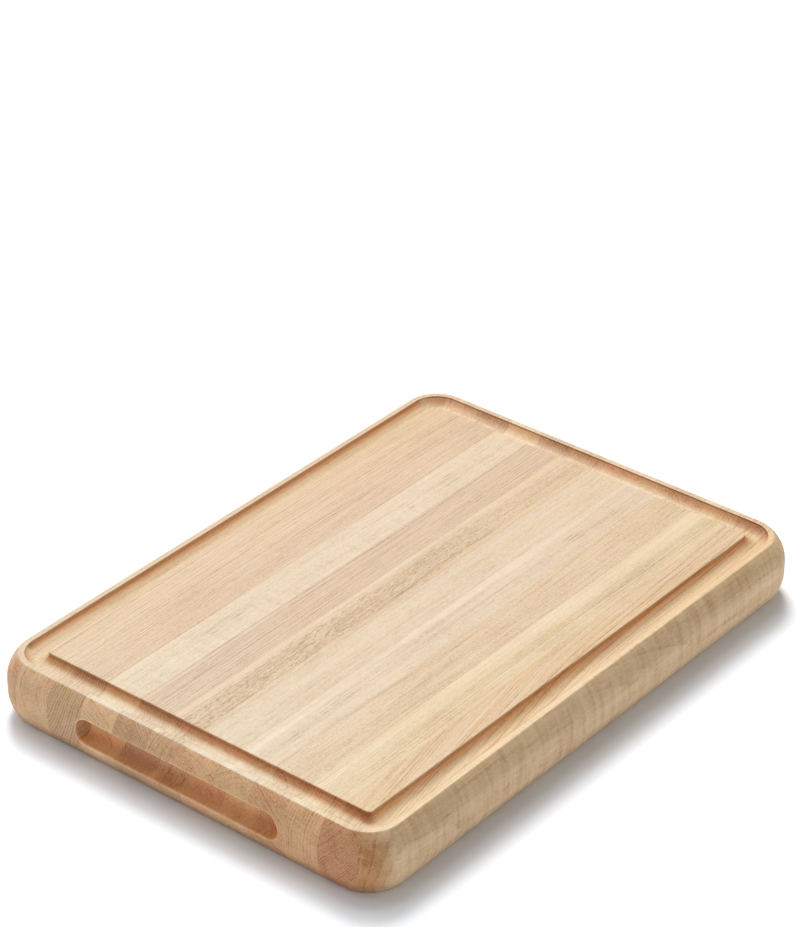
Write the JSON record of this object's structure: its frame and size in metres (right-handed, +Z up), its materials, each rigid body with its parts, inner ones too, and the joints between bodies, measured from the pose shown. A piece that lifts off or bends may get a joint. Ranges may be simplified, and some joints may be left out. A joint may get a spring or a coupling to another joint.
{
  "type": "cutting board",
  "caption": "Thick edge-grain maple butcher-block cutting board with bowed sides, rounded corners, a deep juice groove round the top and a finger grip in each short end.",
  "frame": {"origin": "centre of the flat underside", "axes": "+X across the staves, +Y along the staves, +Z up out of the grooved face"},
  "size_m": [0.3174, 0.4444, 0.045],
  "materials": {
    "maple_cream": "oiled, fine sanded",
    "maple_warm": "oiled, fine sanded",
    "maple_yellow": "oiled, fine sanded",
    "maple_pink": "oiled, fine sanded",
    "maple_tan": "oiled, fine sanded",
    "maple_flecked": "oiled, fine sanded",
    "wood_glue": "cured wood glue, sanded flush"
  },
  "bodies": {
    "root": {"stave_01": "maple_warm", "stave_02": "maple_yellow", "stave_03": "maple_pink", "stave_04": "maple_cream", "stave_05": "maple_pink", "stave_06": "maple_flecked", "stave_07": "maple_tan", "stave_08": "maple_cream", "stave_09": "maple_tan", "stave_10": "maple_yellow", "stave_11": "maple_warm", "stave_12": "maple_tan", "glue_line_01": "wood_glue", "glue_line_02": "wood_glue", "glue_line_03": "wood_glue", "glue_line_04": "wood_glue", "glue_line_05": "wood_glue", "glue_line_06": "wood_glue", "glue_line_07": "wood_glue", "glue_line_08": "wood_glue", "glue_line_09": "wood_glue", "glue_line_10": "wood_glue", "glue_line_11": "wood_glue"}
  },
  "joints": []
}
